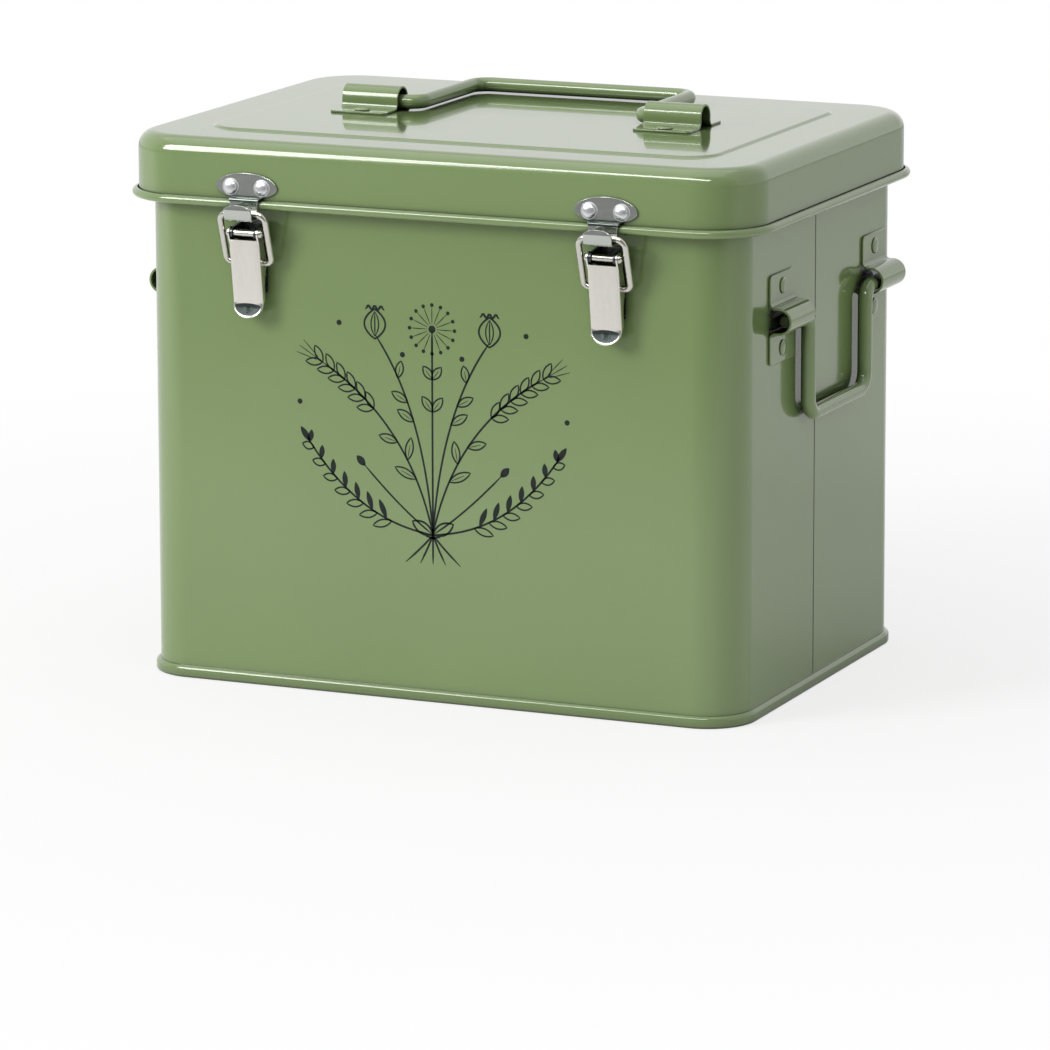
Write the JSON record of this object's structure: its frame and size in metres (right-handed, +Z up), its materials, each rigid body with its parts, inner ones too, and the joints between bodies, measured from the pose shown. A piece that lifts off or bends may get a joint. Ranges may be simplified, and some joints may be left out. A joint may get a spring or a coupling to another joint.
{
  "type": "seed storage box",
  "caption": "Enamelled sheet-steel seed storage box with a hinged deep lid, draw latches on the front, drop handles on both ends and a folding handle on the lid.",
  "frame": {"origin": "centre of the base, on the plane that the box stands on", "axes": "+X along the front to the viewer's right, -Y out of the front with the latches, +Y out of the back with the hinges, +Z up"},
  "size_m": [0.3012, 0.2328, 0.253],
  "materials": {
    "green_enamel": "glossy enamel on sheet steel",
    "nickel_plate": "bright nickel plate on steel"
  },
  "bodies": {
    "case": {"case_shell": "green_enamel", "base_pan": "green_enamel", "side_clip_right_front": "green_enamel", "side_clip_right_rear": "green_enamel", "side_clip_left_front": "green_enamel", "side_clip_left_rear": "green_enamel", "side_clip_rivets": "green_enamel", "latch_base_left": "nickel_plate", "latch_base_right": "nickel_plate", "latch_pin_left": "nickel_plate", "latch_pin_right": "nickel_plate", "latch_base_rivets": "nickel_plate", "hinge_case_leaf_left": "green_enamel", "hinge_case_leaf_right": "green_enamel", "hinge_pin_left": "nickel_plate", "hinge_pin_right": "nickel_plate", "hinge_case_rivets": "green_enamel"},
    "lid": {"lid_shell": "green_enamel", "top_clip_left": "green_enamel", "top_clip_right": "green_enamel", "top_clip_rivets": "green_enamel", "latch_keeper_left": "nickel_plate", "latch_keeper_right": "nickel_plate", "keeper_rivets": "nickel_plate", "hinge_lid_leaf_left": "green_enamel", "hinge_lid_leaf_right": "green_enamel", "hinge_lid_rivets": "green_enamel"},
    "top_handle": {"top_handle": "green_enamel"},
    "side_handle_right": {"side_handle_right": "green_enamel"},
    "side_handle_left": {"side_handle_left": "green_enamel"},
    "lever_left": {"latch_lever_left": "nickel_plate"},
    "lever_right": {"latch_lever_right": "nickel_plate"},
    "loop_left": {"latch_loop_left": "nickel_plate"},
    "loop_right": {"latch_loop_right": "nickel_plate"}
  },
  "joints": [
    {"name": "lid_hinge", "type": "hinge", "parent": "case", "child": "lid", "pos_m": [0, 0.11255, 0.2089], "axis": [-1, 0, 0], "range_deg": [0, 105]},
    {"name": "top_handle_swing", "type": "hinge", "parent": "lid", "child": "top_handle", "pos_m": [0, 0, 0.2466], "axis": [1, 0, 0], "range_deg": [0, 180]},
    {"name": "side_handle_right_swing", "type": "hinge", "parent": "case", "child": "side_handle_right", "pos_m": [0.1447, 0.008, 0.16965], "axis": [0, -1, 0], "range_deg": [0, 165]},
    {"name": "side_handle_left_swing", "type": "hinge", "parent": "case", "child": "side_handle_left", "pos_m": [-0.1447, 0, 0.16965], "axis": [0, 1, 0], "range_deg": [0, 165]},
    {"name": "lever_left_lift", "type": "hinge", "parent": "case", "child": "lever_left", "pos_m": [-0.084, -0.1093, 0.202], "axis": [-1, 0, 0], "range_deg": [0, 100]},
    {"name": "lever_right_lift", "type": "hinge", "parent": "case", "child": "lever_right", "pos_m": [0.084, -0.1093, 0.202], "axis": [-1, 0, 0], "range_deg": [0, 100]},
    {"name": "loop_left_swing", "type": "hinge", "parent": "lever_left", "child": "loop_left", "pos_m": [-0.084, -0.1048, 0.1885], "axis": [-1, 0, 0], "range_deg": [-52, 0]},
    {"name": "loop_right_swing", "type": "hinge", "parent": "lever_right", "child": "loop_right", "pos_m": [0.084, -0.1048, 0.1885], "axis": [-1, 0, 0], "range_deg": [-52, 0]}
  ],
  "couplings": [
    {"joint": "loop_left_swing", "follows": "lever_left_lift", "ratio": -0.52},
    {"joint": "loop_right_swing", "follows": "lever_right_lift", "ratio": -0.52}
  ]
}
